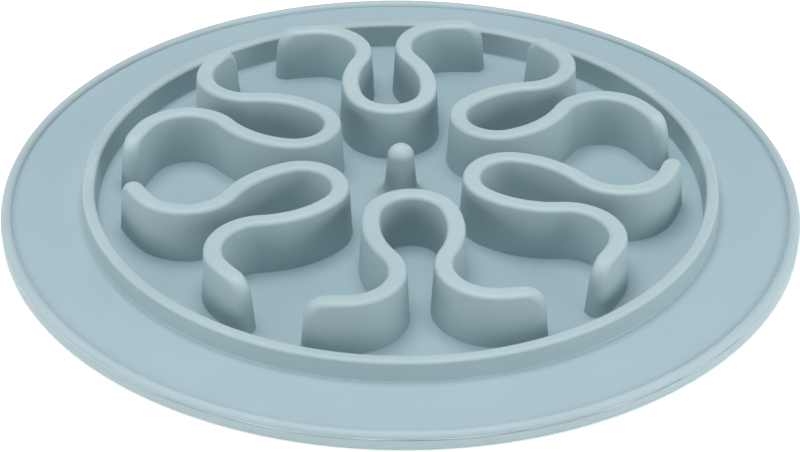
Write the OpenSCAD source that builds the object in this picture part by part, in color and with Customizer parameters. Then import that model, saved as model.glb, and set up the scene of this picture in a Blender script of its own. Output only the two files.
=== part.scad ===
// Slow feeder mat: a round silicone mat with a bead at its edge, a ring wall round a shallow pan,
// six keyhole shaped maze walls standing in the pan and a tapered peg in the middle.
// The real mat is one moulding. Each moulded feature is a solid here, seated on the mat.
// Millimetres, +Z up. The origin is the centre of the flat underside, and the front is -Y.

/* [Mat] */
// Thickness of the pan floor inside the ring wall
floor_t = 2.3; // [1.6:0.1:5]
// Rise of the flange outside the ring wall above the pan floor
flange_step = 1.9; // [0.6:0.1:3]
// Width of the flange, from the ring wall's outer rim to the edge of the mat
flange_w = 24.5; // [15:0.5:40]
// Radius of the edge under the mat
under_round = 0.6; // [0.3:0.1:1]

/* [Edge bead] */
// Radius of the half-round bead
bead_r = 1.6; // [1.5:0.1:2.5]
// Rise of the bead's crest above the flange
bead_rise = 1; // [0.5:0.1:1.1]
// Width over which the flange rolls down to the bead's foot
roll_w = 2.2; // [1:0.1:4]
// Depth that the flange rolls down at the bead's foot
roll_d = 0.4; // [0.1:0.1:0.5]

/* [Ring wall] */
// Height of the ring wall above the flange
ring_h = 6.3; // [4:0.1:12]
// Thickness of the ring wall at its rim
ring_t = 3.7; // [2.6:0.1:6]
// Radius of the ring wall's two rim edges
ring_round = 1; // [0.5:0.1:1.2]
// Radius of the fillets at the ring wall's feet
ring_foot = 0.6; // [0.3:0.1:2]
// Clearance between the rim of the ring wall and the rims of the maze walls' arms
ring_gap = 6.8; // [5:0.1:12]

/* [Maze walls] */
// Height of the maze walls above the pan floor
wall_h = 16.7; // [12:0.1:20]
// Thickness of a maze wall at its rim
wall_t = 5.2; // [4.8:0.1:6]
// Radius of a maze wall's rim edges
wall_round = 1.3; // [0.5:0.1:1.5]
// Radius of the fillets at a maze wall's feet
wall_foot = 0.6; // [0.3:0.1:2]
// Distance from the mat's axis to the middle of the wall at its crown
crown_dist = 24.2; // [22:0.1:32]
// Radius of the crown, to the middle of the wall
crown_r = 11.6; // [10.5:0.1:13]
// Half of the angle that the crown turns through, in degrees
crown_half = 75; // [70:1:80]
// Radius of the long flanks, to the middle of the wall
flank_r = 29.5; // [26:0.5:34]
// Angle that a flank turns through, in degrees
flank_sweep = 44.5; // [40:0.5:46]
// Radius of the bends from the neck into the arms, to the middle of the wall
neck_r = 14.4; // [12:0.2:16]
// Length of the straight part of an arm
arm_len = 12.6; // [9:0.1:15]
// Radius of the upright edges at the end of an arm
end_round = 2.2; // [1.5:0.1:2.3]
// Radius of the upper corner at the end of an arm
end_drop = 6; // [3:0.1:7]

/* [Centre peg] */
// Height of the peg above the pan floor
peg_h = 17.9; // [13:0.1:22]
// Radius of the peg's round tip
peg_tip_r = 4; // [3:0.1:5]
// Slope of the peg's side, in degrees
peg_draft = 5; // [2:0.5:7]
// Radius of the fillet at the peg's foot
peg_foot = 6; // [2:0.1:7]

/* [Moulding] */
// Slope of the sides of the walls, in degrees
draft = 3; // [1:0.5:4]

/* [Hidden] */
$fn = 96;

// Angle between neighbouring maze walls
wall_pitch = 60;
// Straight steps in each rounded corner of a profile
corner_steps = 5;
// Straight steps in the bead's section, the peg's tip and the arm's upper corner
curve_steps = 10;
// Room that a cutter needs past the surface it cuts
cut_room = 3;
cut_skin = 0.05;
// Hair's breadth, in degrees, by which a bend laps over the next stretch of wall
bend_lap = 0.00001;

mat_colour = [0.66, 0.76, 0.79];
wall_colour = [0.70, 0.79, 0.82];

flange_z = floor_t + flange_step;

// Centres and turning angles of a maze wall's tangent arcs, for the half on the +X side
flank_start = 90 - crown_half;
flank_end = flank_start - flank_sweep;
neck_sweep = 90 - flank_end;
crown_c = [0, -crown_dist - crown_r];
flank_c = crown_c - (flank_r - crown_r) * [cos(flank_start), sin(flank_start)];
neck_c = flank_c + (flank_r + neck_r) * [cos(flank_end), sin(flank_end)];
// Distance of an arm's upright edges' centres from the middle of the arm
end_edge = wall_t / 2 - end_round;
// Plan centre of the upright edge that comes nearest to the ring wall
outer_edge_c = neck_c + [arm_len - end_round, -neck_r - end_edge];

ring_in_r = norm(outer_edge_c) + end_round + ring_gap;
ring_mid_r = ring_in_r + ring_t / 2;
mat_r = ring_in_r + ring_t + flange_w;
bead_z = flange_z + bead_rise - bead_r;
bead_foot_z = flange_z - roll_d;
bead_in_angle = 180 - asin((bead_foot_z - bead_z) / bead_r);
bead_in_r = mat_r - bead_r + bead_r * cos(bead_in_angle);

// Points of an arc about c from angle a to angle b
function arc(c, r, a, b, steps) =
    [for (i = [0:steps]) let (t = a + (b - a) * i / steps) c + r * [cos(t), sin(t)]];

function reversed(points) = [for (i = [len(points) - 1:-1:0]) points[i]];

function mirrored(points) = [for (p = reversed(points)) [-p[0], p[1]]];

function lifted(points, dz) = [for (p = points) [p[0], p[1] + dz]];

// One side of a sloped wall's section, from the toe of its foot fillet up to the flat of its rim.
// half_t is half the rim's thickness, h the height, edge_r and foot_r the radii of rim and foot.
function wall_side(half_t, h, edge_r, foot_r, slope, steps = corner_steps) =
    let (
        tight = (1 - sin(slope)) / cos(slope),
        edge_c = [half_t - edge_r * tight, h - edge_r],
        foot_c = [half_t + h * tan(slope) + foot_r * tight, foot_r]
    )
    concat(
        arc(foot_c, foot_r, 270, 180 + slope, corner_steps),
        arc(edge_c, edge_r, slope, 90, steps)
    );

maze_side = wall_side(wall_t / 2, wall_h, wall_round, wall_foot, draft);
maze_section = concat(maze_side, mirrored(maze_side));
// The same side as it goes round the upright edges at the end of an arm
end_side = [for (p = maze_side) [p[0] - end_edge, p[1]]];
end_section = concat([[0, 0]], end_side, [[0, wall_h]]);

module pan_floor() {
    color(mat_colour)
        cylinder(h = floor_t, r = ring_mid_r);
}

// The flange stands a step above the pan floor, which it meets under the middle of the ring wall.
// Its upper face rolls down to the foot of the bead.
module flange() {
    under = arc([mat_r - under_round, under_round], under_round, 270, 360, corner_steps);
    bead_seat = [[mat_r, bead_z], [bead_in_r, bead_z]];
    roll_r = (roll_w ^ 2 + roll_d ^ 2) / (2 * roll_d);
    roll_c = [bead_in_r - roll_w, flange_z - roll_r];
    roll = arc(roll_c, roll_r, 90 - asin(roll_w / roll_r), 90, corner_steps);
    color(mat_colour)
        rotate_extrude()
            polygon(concat([[ring_mid_r, 0]], under, bead_seat, roll, [[ring_mid_r, flange_z]]));
}

module edge_bead() {
    crest = arc([mat_r - bead_r, bead_z], bead_r, 0, bead_in_angle, curve_steps);
    color(wall_colour)
        rotate_extrude()
            polygon(concat([[bead_in_r, bead_z]], crest));
}

// The ring stands on the step between the pan floor and the flange, so its inner side is taller.
module ring_wall() {
    outer = wall_side(ring_t / 2, ring_h, ring_round, ring_foot, draft);
    inner = wall_side(ring_t / 2, ring_h + flange_step, ring_round, ring_foot, draft);
    section = concat([[0, 0], [0, flange_step]], lifted(outer, flange_step), mirrored(inner));
    color(wall_colour)
        translate([0, 0, floor_t])
            rotate_extrude()
                translate([ring_mid_r, 0])
                    polygon(section);
}

// Moves its children to a point of the plan in a coarse and a fine step, so that stretches of wall
// which share an end face meet there exactly
module placed(c) {
    coarse = [for (v = c) round(v * 100) / 100];
    fine = c - coarse;
    translate([coarse[0], coarse[1], 0])
        translate([fine[0], fine[1], 0])
            children();
}

// A stretch of maze wall bent round the centre c, from angle a through the given turn
module wall_bend(c, r, a, turn) {
    placed(c)
        rotate_extrude(angle = turn + 2 * bend_lap, start = a - bend_lap)
            translate([r, 0])
                polygon(maze_section);
}

module wall_arm() {
    placed(neck_c)
        translate([0, -neck_r, 0])
            rotate([90, 0, 90])
                linear_extrude(height = arm_len - end_round)
                    polygon(maze_section);
}

// The end of an arm: two rounded upright edges with a flat face between them
module wall_end() {
    placed(neck_c)
        translate([arm_len - end_round, -neck_r, 0]) {
            for (side = [-1, 1])
                translate([0, side * end_edge, 0])
                    rotate_extrude(angle = 90, start = 45 * side - 45)
                        polygon(end_section);
            translate([0, end_edge, 0])
                rotate([90, 0, 0])
                    linear_extrude(height = 2 * end_edge)
                        polygon(end_section);
        }
}

// What is cut away above the rounded upper corner at the end of an arm
module end_cut() {
    tip = arm_len + end_drop * tan(draft) + cut_skin;
    side = wall_t + 2 * cut_room;
    corner = arc([tip - end_drop, wall_h - end_drop], end_drop, 0, 90, curve_steps);
    beyond = [
        [tip - end_drop, wall_h + cut_room], [tip + cut_room, wall_h + cut_room],
        [tip + cut_room, wall_h - end_drop]
    ];
    placed(neck_c)
        translate([0, side / 2 - neck_r, 0])
            rotate([90, 0, 0])
                linear_extrude(height = side)
                    polygon(concat(corner, beyond));
}

// A maze wall as it stands at the front: its crown towards the peg, its arms along the ring
module omega_wall(turns) {
    color(wall_colour)
        translate([0, 0, floor_t])
            rotate([0, 0, turns * wall_pitch]) {
                wall_bend(crown_c, crown_r, flank_start, 2 * crown_half);
                for (side = [0, 1])
                    mirror([side, 0, 0]) {
                        wall_bend(flank_c, flank_r, flank_end, flank_sweep);
                        wall_bend(neck_c, neck_r, 180 + flank_end, neck_sweep);
                        difference() {
                            union() {
                                wall_arm();
                                wall_end();
                            }
                            end_cut();
                        }
                    }
            }
}

module centre_peg() {
    // The side meets the round tip where the tip's surface has the side's slope
    half_t = peg_tip_r * (1 - sin(peg_draft)) / cos(peg_draft);
    side = wall_side(half_t, peg_h, peg_tip_r, peg_foot, peg_draft, curve_steps);
    color(wall_colour)
        translate([0, 0, floor_t])
            rotate_extrude()
                polygon(concat([[0, 0]], side));
}

pan_floor();
flange();
edge_bead();
ring_wall();
omega_wall(0);  // omega_wall_front
omega_wall(1);  // omega_wall_front_right
omega_wall(2);  // omega_wall_back_right
omega_wall(3);  // omega_wall_back
omega_wall(4);  // omega_wall_back_left
omega_wall(5);  // omega_wall_front_left
centre_peg();
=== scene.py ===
import math

import bpy
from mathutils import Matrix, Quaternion, Vector, noise


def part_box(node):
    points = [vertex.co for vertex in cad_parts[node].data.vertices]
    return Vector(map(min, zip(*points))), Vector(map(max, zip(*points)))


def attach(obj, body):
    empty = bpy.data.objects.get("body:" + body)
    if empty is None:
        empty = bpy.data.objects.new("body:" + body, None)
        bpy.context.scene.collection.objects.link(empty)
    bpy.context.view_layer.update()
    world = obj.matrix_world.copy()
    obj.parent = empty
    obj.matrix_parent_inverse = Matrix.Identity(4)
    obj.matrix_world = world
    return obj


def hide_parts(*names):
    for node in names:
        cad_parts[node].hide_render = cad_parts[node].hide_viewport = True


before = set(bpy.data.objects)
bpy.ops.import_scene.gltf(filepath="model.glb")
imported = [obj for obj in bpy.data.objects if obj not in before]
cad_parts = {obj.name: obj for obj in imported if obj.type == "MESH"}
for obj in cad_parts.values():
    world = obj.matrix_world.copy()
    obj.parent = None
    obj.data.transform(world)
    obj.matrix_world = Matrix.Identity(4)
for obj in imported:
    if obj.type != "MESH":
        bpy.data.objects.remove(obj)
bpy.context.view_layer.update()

MM = 0.001
BODY = "root"

# Heights and radii that the frame gives
FLOOR_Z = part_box("pan_floor")[1].z
RING_MID_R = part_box("pan_floor")[1].x
FLANGE_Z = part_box("flange")[1].z
MAT_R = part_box("flange")[1].x
BEAD_Z, BEAD_TOP_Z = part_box("edge_bead")[0].z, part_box("edge_bead")[1].z
RING_TOP_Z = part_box("ring_wall")[1].z
WALL_TOP_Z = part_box("omega_wall_front")[1].z
PEG_TOP_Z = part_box("centre_peg")[1].z

# Slope of the moulded sides, in degrees
DRAFT = 3
PEG_DRAFT = 5

# Mat: the round of its lower edge, the bead, and the width and depth of the flange's roll down to it
UNDER_ROUND = 0.6 * MM
BEAD_R = BEAD_TOP_Z - BEAD_Z
ROLL_W = 2.2 * MM
ROLL_D = 0.4 * MM

# Ring wall and centre peg: thickness, and the radii of rim, tip and feet
RING_T = 3.7 * MM
RING_ROUND = 1 * MM
RING_FOOT = 0.5 * MM
PEG_TIP_R = 4 * MM
PEG_FOOT = 6 * MM

# Maze walls: the plan of the wall's middle is a chain of tangent arcs, with angles in degrees
WALL_T = 5.2 * MM
WALL_ROUND = 1.5 * MM
WALL_FOOT = 0.2 * MM
CROWN_DIST = 24.2 * MM
CROWN_R = 11.6 * MM
CROWN_HALF = 75
FLANK_R = 29.5 * MM
FLANK_SWEEP = 44.5
NECK_R = 14.4 * MM
ARM_LEN = 12.8 * MM
# The arms go on bending a little as the necks do, away from the ring wall
ARM_BEND_R = 62 * MM
# A place along the arm that stands for all points before it
BEFORE_ARM = -1.0
# Corners of an arm's end, seen from above
END_ROUND = 2.5 * MM
# The rim falls in a quarter of an ellipse at the end of an arm, which comes down past the arm's tip
END_RUN = 5.8 * MM
END_DROP = 7.8 * MM
END_PAST = 0.35 * MM
# The end is domed: beside the middle of the wall the rim falls sooner, by this much at its sides
END_DOME = 1.7 * MM
# Loops on the rim's flat, by how far in they lie, that let the mesh follow the dome
TOP_INSETS = [1.6 * MM, 2 * MM, 2.4 * MM]
WALL_NAMES = ["front", "front_right", "back_right", "back", "back_left", "front_left"]
WALL_PITCH = 60

# A foot fillet runs out under the surface that carries it, on a thin hidden skirt
SKIRT_W = 1 * MM
SKIRT_DROP = 0.05 * MM
SEAT_DEPTH = 0.4 * MM

# Fineness of the meshes, with angles in degrees
LATHE_STEPS = 288
CORNER_STEPS = 8
TIP_STEPS = 14
BEND_STEP = 3
ARM_STEPS = 24
SHARP_ANGLE = 35

# The uneven ridge that the mould's parting line leaves on the mat's edge: noise sets what share of its
# radius it has at each place
FLASH_R = 0.22 * MM
FLASH_WAVES = 9
FLASH_MEAN = 0.55
FLASH_SWING = 0.7

# Camera: its place round the mat, the point that it looks at and its roll, with angles in degrees.
# Its lens and sensor are in millimetres.
CAMERA_AZIMUTH = -5.36
CAMERA_ELEVATION = 31.79
CAMERA_DISTANCE = 715 * MM
CAMERA_AIM = Vector((-3.96, -41.25, 18.5)) * MM
CAMERA_ROLL = 0.425
LENS = 107.1
SENSOR = 36

# Silicone: the flat mat is a little bluer than what stands on it, and its bead and thin flash are painted
# paler, as a painted highlight on the edge
MAT_DARK = (0.298, 0.430, 0.487, 1)
MAT_LIGHT = (0.318, 0.450, 0.507, 1)
WALL_DARK = (0.306, 0.430, 0.458, 1)
WALL_LIGHT = (0.326, 0.450, 0.478, 1)
BEAD_DARK = (0.350, 0.460, 0.505, 1)
BEAD_LIGHT = (0.370, 0.480, 0.525, 1)
FLASH_DARK = (0.46, 0.57, 0.61, 1)
FLASH_LIGHT = (0.54, 0.64, 0.67, 1)
SILICONE_IOR = 1.45
SHINE = 1
SUBSURFACE = 0.2
SUBSURFACE_REACH = (1, 0.85, 0.75)
SUBSURFACE_SCALE = 1 * MM
ROUGHNESS_LOW = 0.6
ROUGHNESS_HIGH = 0.7
GRAIN = 0.15
GRAIN_DEPTH = 0.05 * MM
# Scale and detail of each noise, and the levels between which nearly all of a noise lies
TINT_NOISE = (38, 4)
ROUGHNESS_NOISE = (90, 6)
GRAIN_NOISE = (2200, 2)
TOP_HIGHLIGHT_NOISE = (25, 3)
NOISE_LOW = 0.3
NOISE_HIGH = 0.7
# Specks of dust: a few cells of a pattern have one round their point
DUST_SCALE = 260
DUST_SIZE = 0.045
DUST_SHARE = 0.012
# The colour of the dust specks, which the painted highlight on faces that look up also uses
DUST_AND_HIGHLIGHT_COLOUR = (0.78, 0.90, 0.96, 1)
# Painted highlight: faces that look up are painted paler, in the dust's colour, the more the higher they
# stand; low in the pan the weaker highlight is a painted shade
TOP_HIGHLIGHT = 0.13
TOP_HIGHLIGHT_IN_PAN = 0.2
TOP_HIGHLIGHT_FROM = 0.1
TOP_HIGHLIGHT_UNEVEN = (0.75, 1.25)
# Painted light: the mat's side is painted paler and greyer, up to the parting line
SIDE_LIGHT = 0.2
SIDE_LIGHT_COLOUR = (0.74, 0.79, 0.67, 1)

# Light: a softbox over the mat, two low ones at the front left and front right, and a weak dome.
# Each softbox has its place, width, height and power, in metres and watts.
SOFTBOXES = {
    "top_softbox": ((-0.06, 0.06, 1.0), 0.75, 0.75, 8.6),
    "left_softbox": ((-1.04, -0.6, 0.3), 1.2, 0.56, 7.2),
    "right_softbox": ((1.04, -0.6, 0.3), 1.2, 0.56, 8.8),
}
WHITE = (1, 1, 1, 1)
# The dome's strength as a light, and as it is seen
DOME_STRENGTH = 0.1
DOME_SEEN = 1

# Floor: its radius in metres, and a glow that is seen straight or in a shine and lights nothing else
FLOOR_R = 6
FLOOR_COLOUR = (0.92, 0.92, 0.92, 1)
FLOOR_ROUGHNESS = 0.9
FLOOR_GLOW = 0.35


def polar(radius, degrees):
    angle = math.radians(degrees)
    return Vector((radius * math.cos(angle), radius * math.sin(angle)))


def arc(centre, radius, start, end, steps):
    """Points of an arc from one angle to another, in degrees, with both ends."""
    return [centre + polar(radius, start + (end - start) * i / steps) for i in range(steps + 1)]


def wall_side(height, rim_r, foot_r, slope, rim_steps=CORNER_STEPS):
    """One side of a sloped wall, from a hidden skirt to the rim's flat, as (reach past the rim, height)."""
    lean = math.tan(math.radians(slope))
    tight = math.tan(math.radians(45 - slope / 2))
    foot_c = Vector((height * lean + foot_r * tight, foot_r))
    rim_c = Vector((-rim_r * tight, height - rim_r))
    skirt_x = foot_c.x + SKIRT_W
    skirt = [Vector((skirt_x, -SEAT_DEPTH)), Vector((skirt_x, -SKIRT_DROP))]
    foot = arc(foot_c, foot_r, 270, 180 + slope, CORNER_STEPS)
    return skirt + foot + arc(rim_c, rim_r, slope, 90, rim_steps)


def loft(loops, closed=False):
    """Vertices and faces of a skin over loops of equally many points."""
    count = len(loops[0])
    faces = []
    for k in range(len(loops) if closed else len(loops) - 1):
        low = k * count
        high = (k + 1) % len(loops) * count
        for i in range(count):
            j = (i + 1) % count
            faces.append((low + i, low + j, high + j, high + i))
    return [point for loop in loops for point in loop], faces


def ring_loops(section):
    """A loop round the mat's axis for each (radius, height) point of a section."""
    turns = [polar(1, 360 * i / LATHE_STEPS) for i in range(LATHE_STEPS)]
    return [[Vector((r * t.x, r * t.y, z)) for t in turns] for r, z in section]


def add_disc(verts, faces, first, z, facing_up):
    """Closes a loop of the lathe with triangles round a point on the mat's axis."""
    verts.append(Vector((0, 0, z)))
    for i in range(LATHE_STEPS):
        a, b = first + i, first + (i + 1) % LATHE_STEPS
        faces.append((a, b, len(verts) - 1) if facing_up else (b, a, len(verts) - 1))


def make_piece(name, verts, faces, material, *nodes):
    """A moulded piece that stands for the named CAD nodes and rides on the mat's body."""
    mesh = bpy.data.meshes.new(name)
    mesh.from_pydata(verts, [], faces)
    mesh.validate()
    mesh.shade_smooth()
    mesh.set_sharp_from_angle(angle=math.radians(SHARP_ANGLE))
    mesh.materials.append(material)
    piece = bpy.data.objects.new(name, mesh)
    bpy.context.scene.collection.objects.link(piece)
    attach(piece, BODY)
    if nodes:
        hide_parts(*nodes)


def make_pan_floor(material):
    section = [(RING_MID_R, 0), (RING_MID_R, FLOOR_Z)]
    verts, faces = loft(ring_loops(section))
    add_disc(verts, faces, 0, 0, False)
    add_disc(verts, faces, LATHE_STEPS, FLOOR_Z, True)
    make_piece("moulded_pan_floor", verts, faces, material, "pan_floor")


def bead_crest():
    """The half-round bead's section, from the mat's edge to its foot on the flange."""
    foot = math.degrees(math.asin((FLANGE_Z - ROLL_D - BEAD_Z) / BEAD_R))
    return arc(Vector((MAT_R - BEAD_R, BEAD_Z)), BEAD_R, 0, 180 - foot, TIP_STEPS)


def make_flange(material):
    """The flange's upper face rolls down to the foot of the bead."""
    under = arc(Vector((MAT_R - UNDER_ROUND, UNDER_ROUND)), UNDER_ROUND, 270, 360, CORNER_STEPS)
    seat_r = bead_crest()[-1].x
    roll_r = (ROLL_W ** 2 + ROLL_D ** 2) / (2 * ROLL_D)
    roll_turn = math.degrees(math.asin(ROLL_W / roll_r))
    roll_c = Vector((seat_r - ROLL_W, FLANGE_Z - roll_r))
    roll = arc(roll_c, roll_r, 90 - roll_turn, 90, CORNER_STEPS)
    seat = [(MAT_R, BEAD_Z), (seat_r, BEAD_Z)]
    section = [(RING_MID_R, 0), *under, *seat, *roll, (RING_MID_R, FLANGE_Z)]
    verts, faces = loft(ring_loops(section), closed=True)
    make_piece("moulded_flange", verts, faces, material, "flange")


def make_edge_bead(material):
    crest = bead_crest()
    seat_z = BEAD_Z - SEAT_DEPTH
    section = [(MAT_R, seat_z), *crest, (crest[-1].x, seat_z)]
    verts, faces = loft(ring_loops(section), closed=True)
    make_piece("moulded_edge_bead", verts, faces, material, "edge_bead")


def make_ring_wall(material):
    """The ring stands on the step between pan floor and flange, so its inner side is taller."""
    outer = wall_side(RING_TOP_Z - FLANGE_Z, RING_ROUND, RING_FOOT, DRAFT)
    inner = wall_side(RING_TOP_Z - FLOOR_Z, RING_ROUND, RING_FOOT, DRAFT)
    out_r = RING_MID_R + RING_T / 2
    in_r = RING_MID_R - RING_T / 2
    section = [(out_r + p.x, FLANGE_Z + p.y) for p in outer]
    section += [(in_r - p.x, FLOOR_Z + p.y) for p in reversed(inner)]
    verts, faces = loft(ring_loops(section), closed=True)
    make_piece("moulded_ring_wall", verts, faces, material, "ring_wall")


def make_centre_peg(material):
    rim_r = PEG_TIP_R * math.tan(math.radians(45 - PEG_DRAFT / 2))
    side = wall_side(PEG_TOP_Z - FLOOR_Z, PEG_TIP_R, PEG_FOOT, PEG_DRAFT, TIP_STEPS)
    section = [(rim_r + p.x, FLOOR_Z + p.y) for p in side[:-1]]
    verts, faces = loft(ring_loops(section))
    add_disc(verts, faces, 0, FLOOR_Z - SEAT_DEPTH, False)
    add_disc(verts, faces, LATHE_STEPS * (len(section) - 1), PEG_TOP_Z, True)
    make_piece("moulded_centre_peg", verts, faces, material, "centre_peg")


def bend_steps(degrees):
    return max(1, round(abs(degrees) / BEND_STEP))


def half_wall_path():
    """The right half of the front wall's plan: points, directions and places along the arm."""
    flank_start = 90 - CROWN_HALF
    flank_end = flank_start - FLANK_SWEEP
    crown_c = Vector((0, -CROWN_DIST - CROWN_R))
    flank_c = crown_c - polar(FLANK_R - CROWN_R, flank_start)
    neck_c = flank_c + polar(FLANK_R + NECK_R, flank_end)
    bends = [
        (crown_c, CROWN_R, 90, flank_start),
        (flank_c, FLANK_R, flank_start, flank_end),
        (neck_c, NECK_R, 180 + flank_end, 270),
    ]
    path = []
    for centre, radius, start, end in bends:
        steps = bend_steps(end - start)
        turn = 1 if end > start else -1
        for i in range(steps):
            angle = start + (end - start) * i / steps
            path.append((centre + polar(radius, angle), polar(1, angle + 90 * turn), BEFORE_ARM))
    bend_c = neck_c + Vector((0, ARM_BEND_R - NECK_R))
    for i in range(ARM_STEPS + 1):
        along = (ARM_LEN - END_ROUND) * i / ARM_STEPS
        angle = math.degrees(along / ARM_BEND_R)
        path.append((bend_c + polar(ARM_BEND_R, angle - 90), polar(1, angle), along))
    return path


def end_corner(point, out, ahead, place):
    """A round corner of an arm's end, from the wall's side to the end's face."""
    corner = []
    for i in range(1, CORNER_STEPS + 1):
        turn = math.radians(90 * i / CORNER_STEPS)
        way = out * math.cos(turn) + ahead * math.sin(turn)
        spot = point + out * (WALL_T / 2 - END_ROUND) + way * END_ROUND
        corner.append((spot, way, place + END_ROUND * math.sin(turn), math.sin(turn)))
    return corner


def wall_outline():
    """The front wall's rim outline: points, outward directions, places along the arm and shares of the
    direction that point along the arm. The second half runs back along the other side."""
    right = half_wall_path()
    left = [(Vector((-p.x, p.y)), Vector((t.x, -t.y)), s) for p, t, s in reversed(right[1:])]
    path = left + right
    sides = []
    for side in (1, -1):
        chain = []
        for point, along, place in path:
            out = Vector((-along.y, along.x)) * side
            chain.append((point + out * (WALL_T / 2), out, place, 0.0))
        for end in (0, -1):
            point, along, place = path[end]
            out = Vector((-along.y, along.x)) * side
            corner = end_corner(point, out, along if end else -along, place)
            chain = chain + corner if end else corner[::-1] + chain
        sides.append(chain)
    return sides[0][::-1] + sides[1]


def end_fall(place):
    """How far the rim falls at a place along the arm, where its upper corner is rounded."""
    over = min(max(place - ARM_LEN - END_PAST + END_RUN, 0), END_RUN) / END_RUN
    return END_DROP * (1 - math.sqrt(1 - over ** 2))


def make_maze_wall(index, material):
    """Loops up the sides and over the rim, lowered at the arms' ends and turned to the wall's place."""
    height = WALL_TOP_Z - FLOOR_Z
    side = wall_side(height, WALL_ROUND, WALL_FOOT, DRAFT)
    top = [Vector((-inset, height)) for inset in TOP_INSETS]
    outline = wall_outline()
    turn = Quaternion((0, 0, 1), math.radians(WALL_PITCH * index))
    loops = []
    for reach, z in side + top:
        loop = []
        for point, out, place, share in outline:
            spot = point + out * reach
            # The dome leaves the middle of the wall and the very tip alone, and only the upper loops fall
            dome = END_DOME * (1 + 2 * reach / WALL_T) ** 2 * (1 - share ** 2)
            fall = end_fall(place + reach * share + dome) if z > height / 2 else 0
            loop.append(turn @ Vector((spot.x, spot.y, FLOOR_Z + z - fall)))
        loops.append(loop)
    verts, faces = loft(loops)
    count = len(outline)
    last = count * (len(loops) - 1)
    # Rungs across the wall close its underside and its rim
    for i in range(count // 2 - 1):
        rung = (i, i + 1, count - 2 - i, count - 1 - i)
        faces.append(tuple(reversed(rung)))
        faces.append(tuple(last + v for v in rung))
    name = "omega_wall_" + WALL_NAMES[index]
    make_piece("moulded_" + name, verts, faces, material, name)


def make_flash(material):
    """A thin uneven ridge where the two halves of the mould met."""
    section = [Vector((-1, 0)), *arc(Vector((0, 0)), 1, -90, 90, CORNER_STEPS)]
    loops = [[] for _ in section]
    for i in range(LATHE_STEPS):
        way = polar(1, 360 * i / LATHE_STEPS)
        uneven = noise.noise(Vector((way.x, way.y, 0)) * FLASH_WAVES)
        reach = FLASH_R * (FLASH_MEAN + FLASH_SWING * uneven)
        for loop, point in zip(loops, section):
            r = MAT_R + reach * point.x
            loop.append(Vector((way.x * r, way.y * r, BEAD_Z + reach * point.y)))
    verts, faces = loft(loops, closed=True)
    make_piece("parting_line_flash", verts, faces, material)


def link_noise(material, place, scale, detail):
    """A noise texture over the mat's own coordinates."""
    noise_node = material.node_tree.nodes.new("ShaderNodeTexNoise")
    noise_node.inputs["Scale"].default_value = scale
    noise_node.inputs["Detail"].default_value = detail
    material.node_tree.links.new(place.outputs["Object"], noise_node.inputs["Vector"])
    return noise_node.outputs["Fac"]


def link_range(material, value, low, high, to_low, to_high):
    """A smooth step from one level to another as a value goes from low to high."""
    step = material.node_tree.nodes.new("ShaderNodeMapRange")
    step.interpolation_type = "SMOOTHSTEP"
    for name, level in zip(("From Min", "From Max", "To Min", "To Max"), (low, high, to_low, to_high)):
        step.inputs[name].default_value = level
    material.node_tree.links.new(value, step.inputs["Value"])
    return step.outputs["Result"]


def link_product(material, shares):
    """The product of a few shares."""
    total = shares[0]
    for share in shares[1:]:
        product = material.node_tree.nodes.new("ShaderNodeMath")
        product.operation = "MULTIPLY"
        material.node_tree.links.new(total, product.inputs[0])
        material.node_tree.links.new(share, product.inputs[1])
        total = product.outputs["Value"]
    return total


def link_height(material, vector):
    """The upward part of a vector."""
    axes = material.node_tree.nodes.new("ShaderNodeSeparateXYZ")
    material.node_tree.links.new(vector, axes.inputs["Vector"])
    return axes.outputs["Z"]


def top_highlight_share(material, place):
    """How much painted highlight covers the silicone: where it looks up and stands high, less low in the
    pan.
    """
    up = link_range(material, link_height(material, place.outputs["Normal"]), TOP_HIGHLIGHT_FROM, 1, 0, TOP_HIGHLIGHT)
    height = link_height(material, place.outputs["Object"])
    shelter = link_range(material, height, FLOOR_Z, RING_TOP_Z, TOP_HIGHLIGHT_IN_PAN, 1)
    patches = link_noise(material, place, *TOP_HIGHLIGHT_NOISE)
    uneven = link_range(material, patches, NOISE_LOW, NOISE_HIGH, *TOP_HIGHLIGHT_UNEVEN)
    return link_product(material, [up, shelter, uneven])


def side_light_share(material, place):
    """How much painted light covers the silicone: only on the mat's side, up to the parting line."""
    nodes, links = material.node_tree.nodes, material.node_tree.links
    level = nodes.new("ShaderNodeVectorMath")
    level.operation = "MULTIPLY"
    level.inputs[1].default_value = (1, 1, 0)
    links.new(place.outputs["Object"], level.inputs[0])
    radius = nodes.new("ShaderNodeVectorMath")
    radius.operation = "LENGTH"
    links.new(level.outputs["Vector"], radius.inputs[0])
    outside = link_range(material, radius.outputs["Value"], MAT_R - UNDER_ROUND, MAT_R, 0, SIDE_LIGHT)
    height = link_height(material, place.outputs["Object"])
    below = link_range(material, height, BEAD_Z - FLASH_R, BEAD_Z, 1, 0)
    return link_product(material, [outside, below])


def cover(material, share, colour, under):
    """Lays a share of a colour over the colour under it."""
    mix = material.node_tree.nodes.new("ShaderNodeMixRGB")
    mix.inputs["Color2"].default_value = colour
    material.node_tree.links.new(share, mix.inputs["Fac"])
    material.node_tree.links.new(under, mix.inputs["Color1"])
    return mix.outputs["Color"]


def mottled_tint(material, place, dark, light):
    """A colour that wanders between two tints."""
    tint = material.node_tree.nodes.new("ShaderNodeValToRGB")
    first, last = tint.color_ramp.elements
    first.position, first.color = NOISE_LOW, dark
    last.position, last.color = NOISE_HIGH, light
    material.node_tree.links.new(link_noise(material, place, *TINT_NOISE), tint.inputs["Fac"])
    return tint.outputs["Color"]


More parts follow.
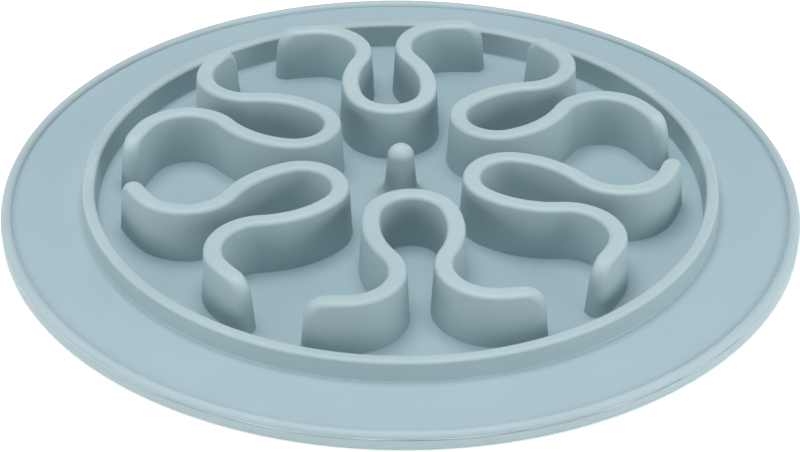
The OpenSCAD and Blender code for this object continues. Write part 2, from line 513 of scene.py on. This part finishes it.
def speck_share(material, place):
    """One in the specks of dust and zero beside them."""
    nodes, links = material.node_tree.nodes, material.node_tree.links
    cells = nodes.new("ShaderNodeTexVoronoi")
    cells.inputs["Scale"].default_value = DUST_SCALE
    links.new(place.outputs["Object"], cells.inputs["Vector"])
    near = nodes.new("ShaderNodeMath")
    near.operation = "LESS_THAN"
    near.inputs[1].default_value = DUST_SIZE
    links.new(cells.outputs["Distance"], near.inputs[0])
    pick = nodes.new("ShaderNodeSeparateColor")
    links.new(cells.outputs["Color"], pick.inputs["Color"])
    rare = nodes.new("ShaderNodeMath")
    rare.operation = "GREATER_THAN"
    rare.inputs[1].default_value = 1 - DUST_SHARE
    links.new(pick.outputs["Red"], rare.inputs[0])
    return link_product(material, [near.outputs["Value"], rare.outputs["Value"]])


def uneven_roughness(material, place):
    span = material.node_tree.nodes.new("ShaderNodeMapRange")
    span.inputs["To Min"].default_value = ROUGHNESS_LOW
    span.inputs["To Max"].default_value = ROUGHNESS_HIGH
    material.node_tree.links.new(link_noise(material, place, *ROUGHNESS_NOISE), span.inputs["Value"])
    return span.outputs["Result"]


def fine_grain(material, place):
    bump = material.node_tree.nodes.new("ShaderNodeBump")
    bump.inputs["Strength"].default_value = GRAIN
    bump.inputs["Distance"].default_value = GRAIN_DEPTH
    material.node_tree.links.new(link_noise(material, place, *GRAIN_NOISE), bump.inputs["Height"])
    return bump.outputs["Normal"]


def silicone_material(name, dark, light):
    """Matt moulded silicone, mottled between two tints, with a fine grain and specks of dust, a painted
    highlight on faces that look up and painted light on the mat's side."""
    material = bpy.data.materials.new(name)
    material.use_nodes = True
    nodes, links = material.node_tree.nodes, material.node_tree.links
    shader = nodes["Principled BSDF"]
    shader.inputs["IOR"].default_value = SILICONE_IOR
    shader.inputs["Specular IOR Level"].default_value = SHINE
    shader.inputs["Subsurface Weight"].default_value = SUBSURFACE
    shader.inputs["Subsurface Radius"].default_value = SUBSURFACE_REACH
    shader.inputs["Subsurface Scale"].default_value = SUBSURFACE_SCALE
    place = nodes.new("ShaderNodeTexCoord")
    colour = mottled_tint(material, place, dark, light)
    colour = cover(material, speck_share(material, place), DUST_AND_HIGHLIGHT_COLOUR, colour)
    # Painted highlight on faces that look up, weaker low in the pan as painted shade
    colour = cover(material, top_highlight_share(material, place), DUST_AND_HIGHLIGHT_COLOUR, colour)
    # Painted light on the mat's side
    colour = cover(material, side_light_share(material, place), SIDE_LIGHT_COLOUR, colour)
    links.new(colour, shader.inputs["Base Color"])
    links.new(uneven_roughness(material, place), shader.inputs["Roughness"])
    links.new(fine_grain(material, place), shader.inputs["Normal"])
    return material


def seen_directly(tree):
    """One for a ray that is seen straight, off a shine or through glass, and zero for one that lights."""
    path = tree.nodes.new("ShaderNodeLightPath")
    total = path.outputs["Is Camera Ray"]
    for kind in ("Is Glossy Ray", "Is Transmission Ray"):
        either = tree.nodes.new("ShaderNodeMath")
        either.operation = "MAXIMUM"
        tree.links.new(total, either.inputs[0])
        tree.links.new(path.outputs[kind], either.inputs[1])
        total = either.outputs["Value"]
    return total


def floor_material():
    """A pale floor that is seen as white, with the mat's shadow on it."""
    material = bpy.data.materials.new("studio_floor")
    material.use_nodes = True
    nodes, links = material.node_tree.nodes, material.node_tree.links
    shader = nodes["Principled BSDF"]
    shader.inputs["Base Color"].default_value = FLOOR_COLOUR
    shader.inputs["Roughness"].default_value = FLOOR_ROUGHNESS
    shader.inputs["Emission Color"].default_value = WHITE
    glow = nodes.new("ShaderNodeMath")
    glow.operation = "MULTIPLY"
    glow.inputs[1].default_value = FLOOR_GLOW
    links.new(seen_directly(material.node_tree), glow.inputs[0])
    links.new(glow.outputs["Value"], shader.inputs["Emission Strength"])
    return material


def make_floor():
    mesh = bpy.data.meshes.new("studio_floor")
    rim = [(*polar(FLOOR_R, 360 * i / LATHE_STEPS), 0) for i in range(LATHE_STEPS)]
    mesh.from_pydata(rim, [], [tuple(range(LATHE_STEPS))])
    mesh.materials.append(floor_material())
    floor = bpy.data.objects.new("studio_floor", mesh)
    bpy.context.scene.collection.objects.link(floor)


def make_softbox(name, place, width, height, power):
    lamp = bpy.data.lights.new(name, "AREA")
    lamp.shape = "RECTANGLE"
    lamp.size = width
    lamp.size_y = height
    lamp.energy = power
    softbox = bpy.data.objects.new(name, lamp)
    softbox.location = place
    softbox.rotation_mode = "QUATERNION"
    softbox.rotation_quaternion = (-Vector(place)).to_track_quat("-Z", "Y")
    softbox.visible_camera = False
    bpy.context.scene.collection.objects.link(softbox)


def make_lights():
    for name, setting in SOFTBOXES.items():
        make_softbox(name, *setting)


def make_world():
    """A weak dome that is seen as white."""
    world = bpy.data.worlds.new("studio")
    bpy.context.scene.world = world
    world.use_nodes = True
    nodes, links = world.node_tree.nodes, world.node_tree.links
    dome = nodes["Background"]
    dome.inputs["Color"].default_value = WHITE
    level = nodes.new("ShaderNodeMapRange")
    level.inputs["To Min"].default_value = DOME_STRENGTH
    level.inputs["To Max"].default_value = DOME_SEEN
    links.new(seen_directly(world.node_tree), level.inputs["Value"])
    links.new(level.outputs["Result"], dome.inputs["Strength"])


def make_camera():
    data = bpy.data.cameras.new("camera")
    data.sensor_width = SENSOR
    data.lens = LENS
    camera = bpy.data.objects.new("camera", data)
    level = CAMERA_DISTANCE * math.cos(math.radians(CAMERA_ELEVATION))
    side = polar(level, CAMERA_AZIMUTH - 90)
    rise = CAMERA_DISTANCE * math.sin(math.radians(CAMERA_ELEVATION))
    camera.location = Vector((side.x, side.y, WALL_TOP_Z + rise))
    look = (CAMERA_AIM - camera.location).to_track_quat("-Z", "Y")
    camera.rotation_mode = "QUATERNION"
    camera.rotation_quaternion = look @ Quaternion((0, 0, 1), math.radians(CAMERA_ROLL))
    bpy.context.scene.collection.objects.link(camera)
    bpy.context.scene.camera = camera


make_camera()
make_lights()
make_world()
make_floor()
mat_silicone = silicone_material("mat_silicone", MAT_DARK, MAT_LIGHT)
wall_silicone = silicone_material("wall_silicone", WALL_DARK, WALL_LIGHT)
# The bead and the flash are painted paler: a painted highlight
bead_highlight_silicone = silicone_material("bead_highlight_silicone", BEAD_DARK, BEAD_LIGHT)
flash_highlight_silicone = silicone_material("flash_highlight_silicone", FLASH_DARK, FLASH_LIGHT)
make_pan_floor(mat_silicone)
make_flange(mat_silicone)
make_edge_bead(bead_highlight_silicone)
make_flash(flash_highlight_silicone)
make_ring_wall(wall_silicone)
make_centre_peg(wall_silicone)
for wall in range(len(WALL_NAMES)):
    make_maze_wall(wall, wall_silicone)
bpy.context.scene.view_settings.view_transform = "Standard"
